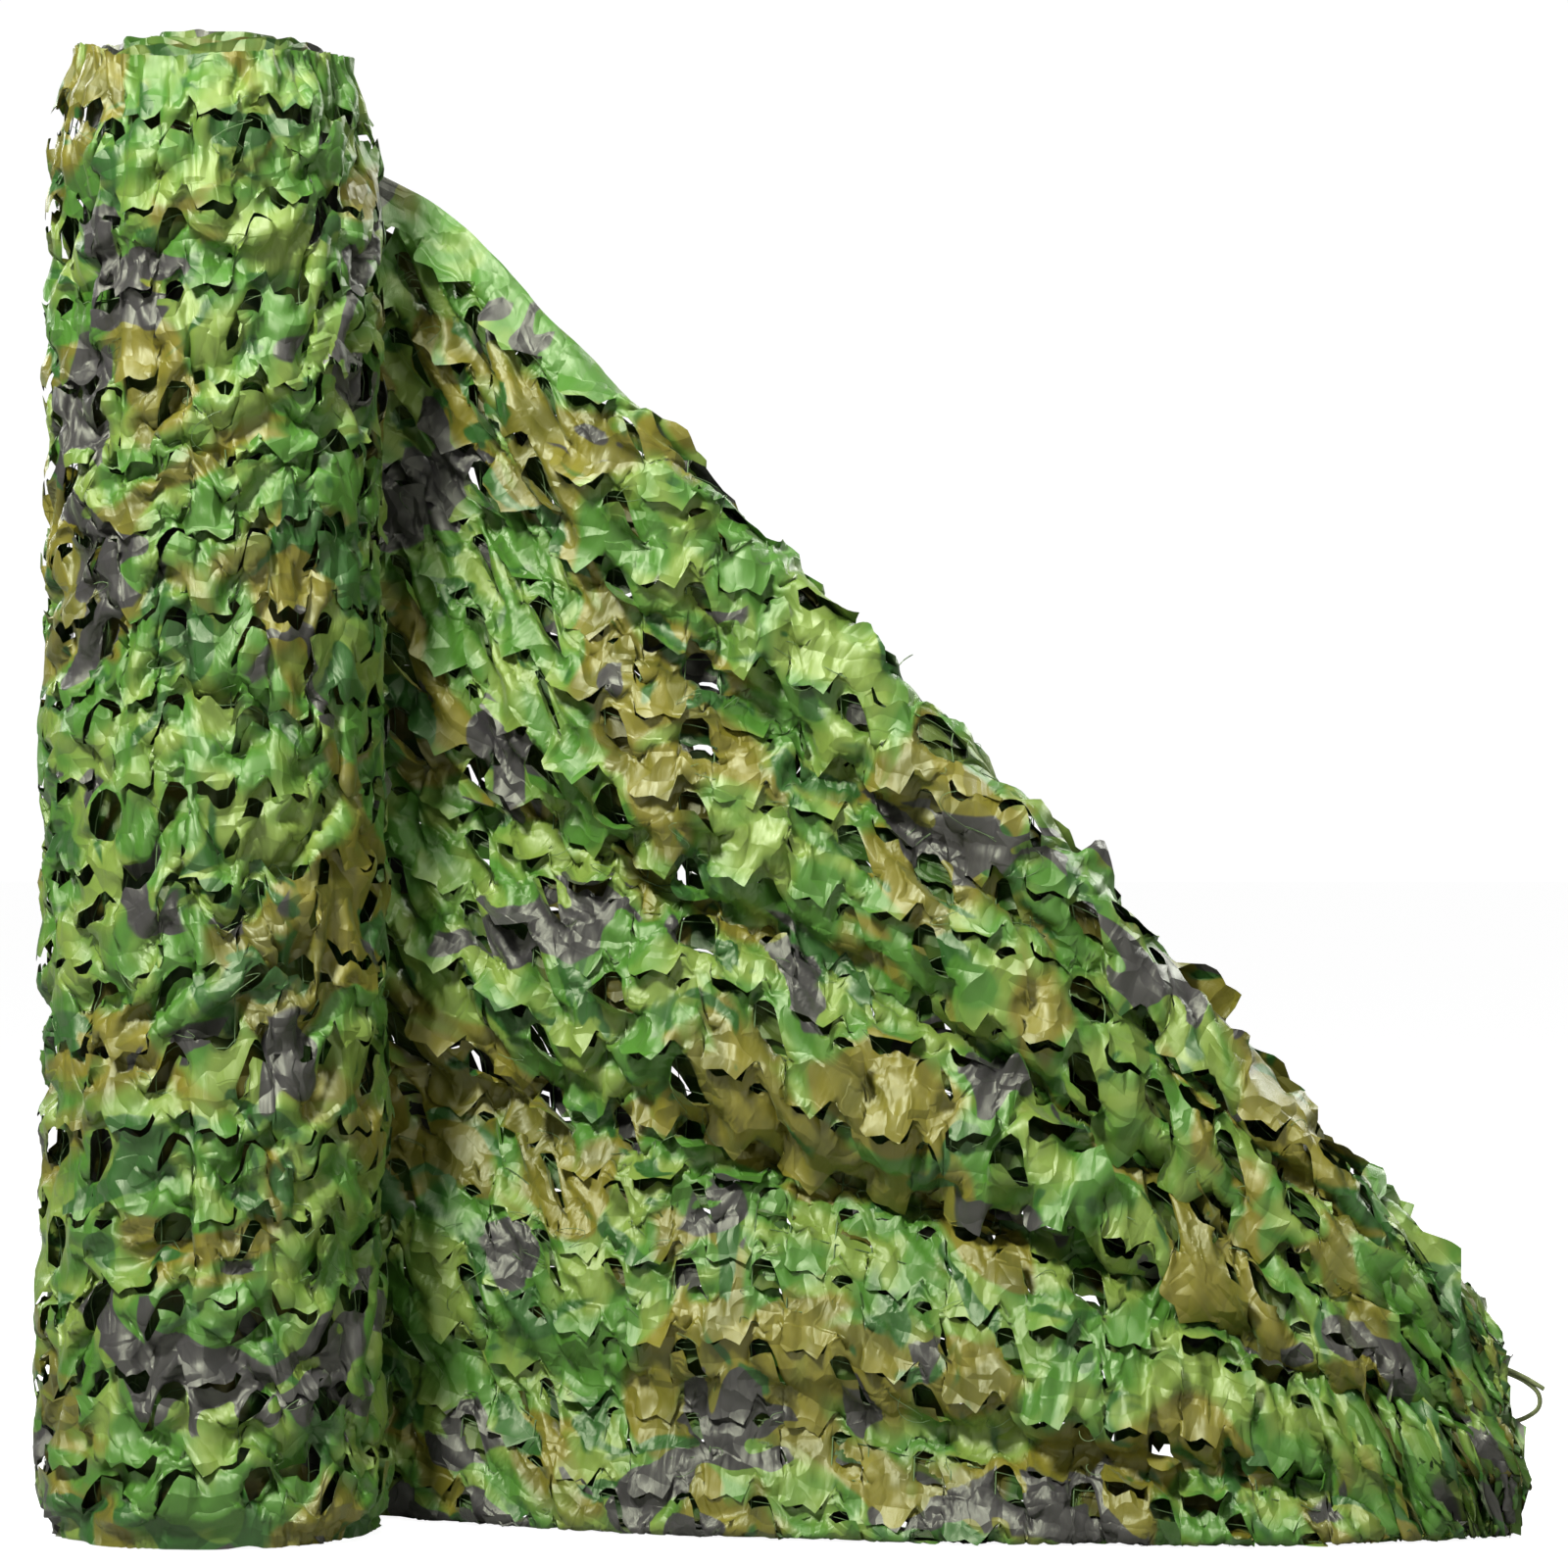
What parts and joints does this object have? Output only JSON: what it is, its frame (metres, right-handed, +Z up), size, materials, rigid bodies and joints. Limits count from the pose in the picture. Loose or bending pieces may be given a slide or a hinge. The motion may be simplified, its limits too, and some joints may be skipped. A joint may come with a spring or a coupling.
{
  "type": "camouflage net",
  "caption": "Bulk roll of leaf-cut camouflage netting standing on end, its loose end drawn out beside it and slumped into a heap, for screening and shade.",
  "frame": {"origin": "on the floor, under the middle of the whole", "axes": "+Z up, +X from the roll towards the free end, -Y the front"},
  "size_m": [1.527, 0.3277, 1.5215],
  "materials": {
    "wound_leaf_cloth": "satin woven cloth, printed in green, olive brown and charcoal",
    "drawn_leaf_cloth": "satin woven cloth, printed in green, olive brown and charcoal",
    "green_cord": "matt twisted cord"
  },
  "bodies": {
    "root": {"roll": "wound_leaf_cloth", "loose_end": "drawn_leaf_cloth", "cord_end": "green_cord"}
  },
  "joints": []
}
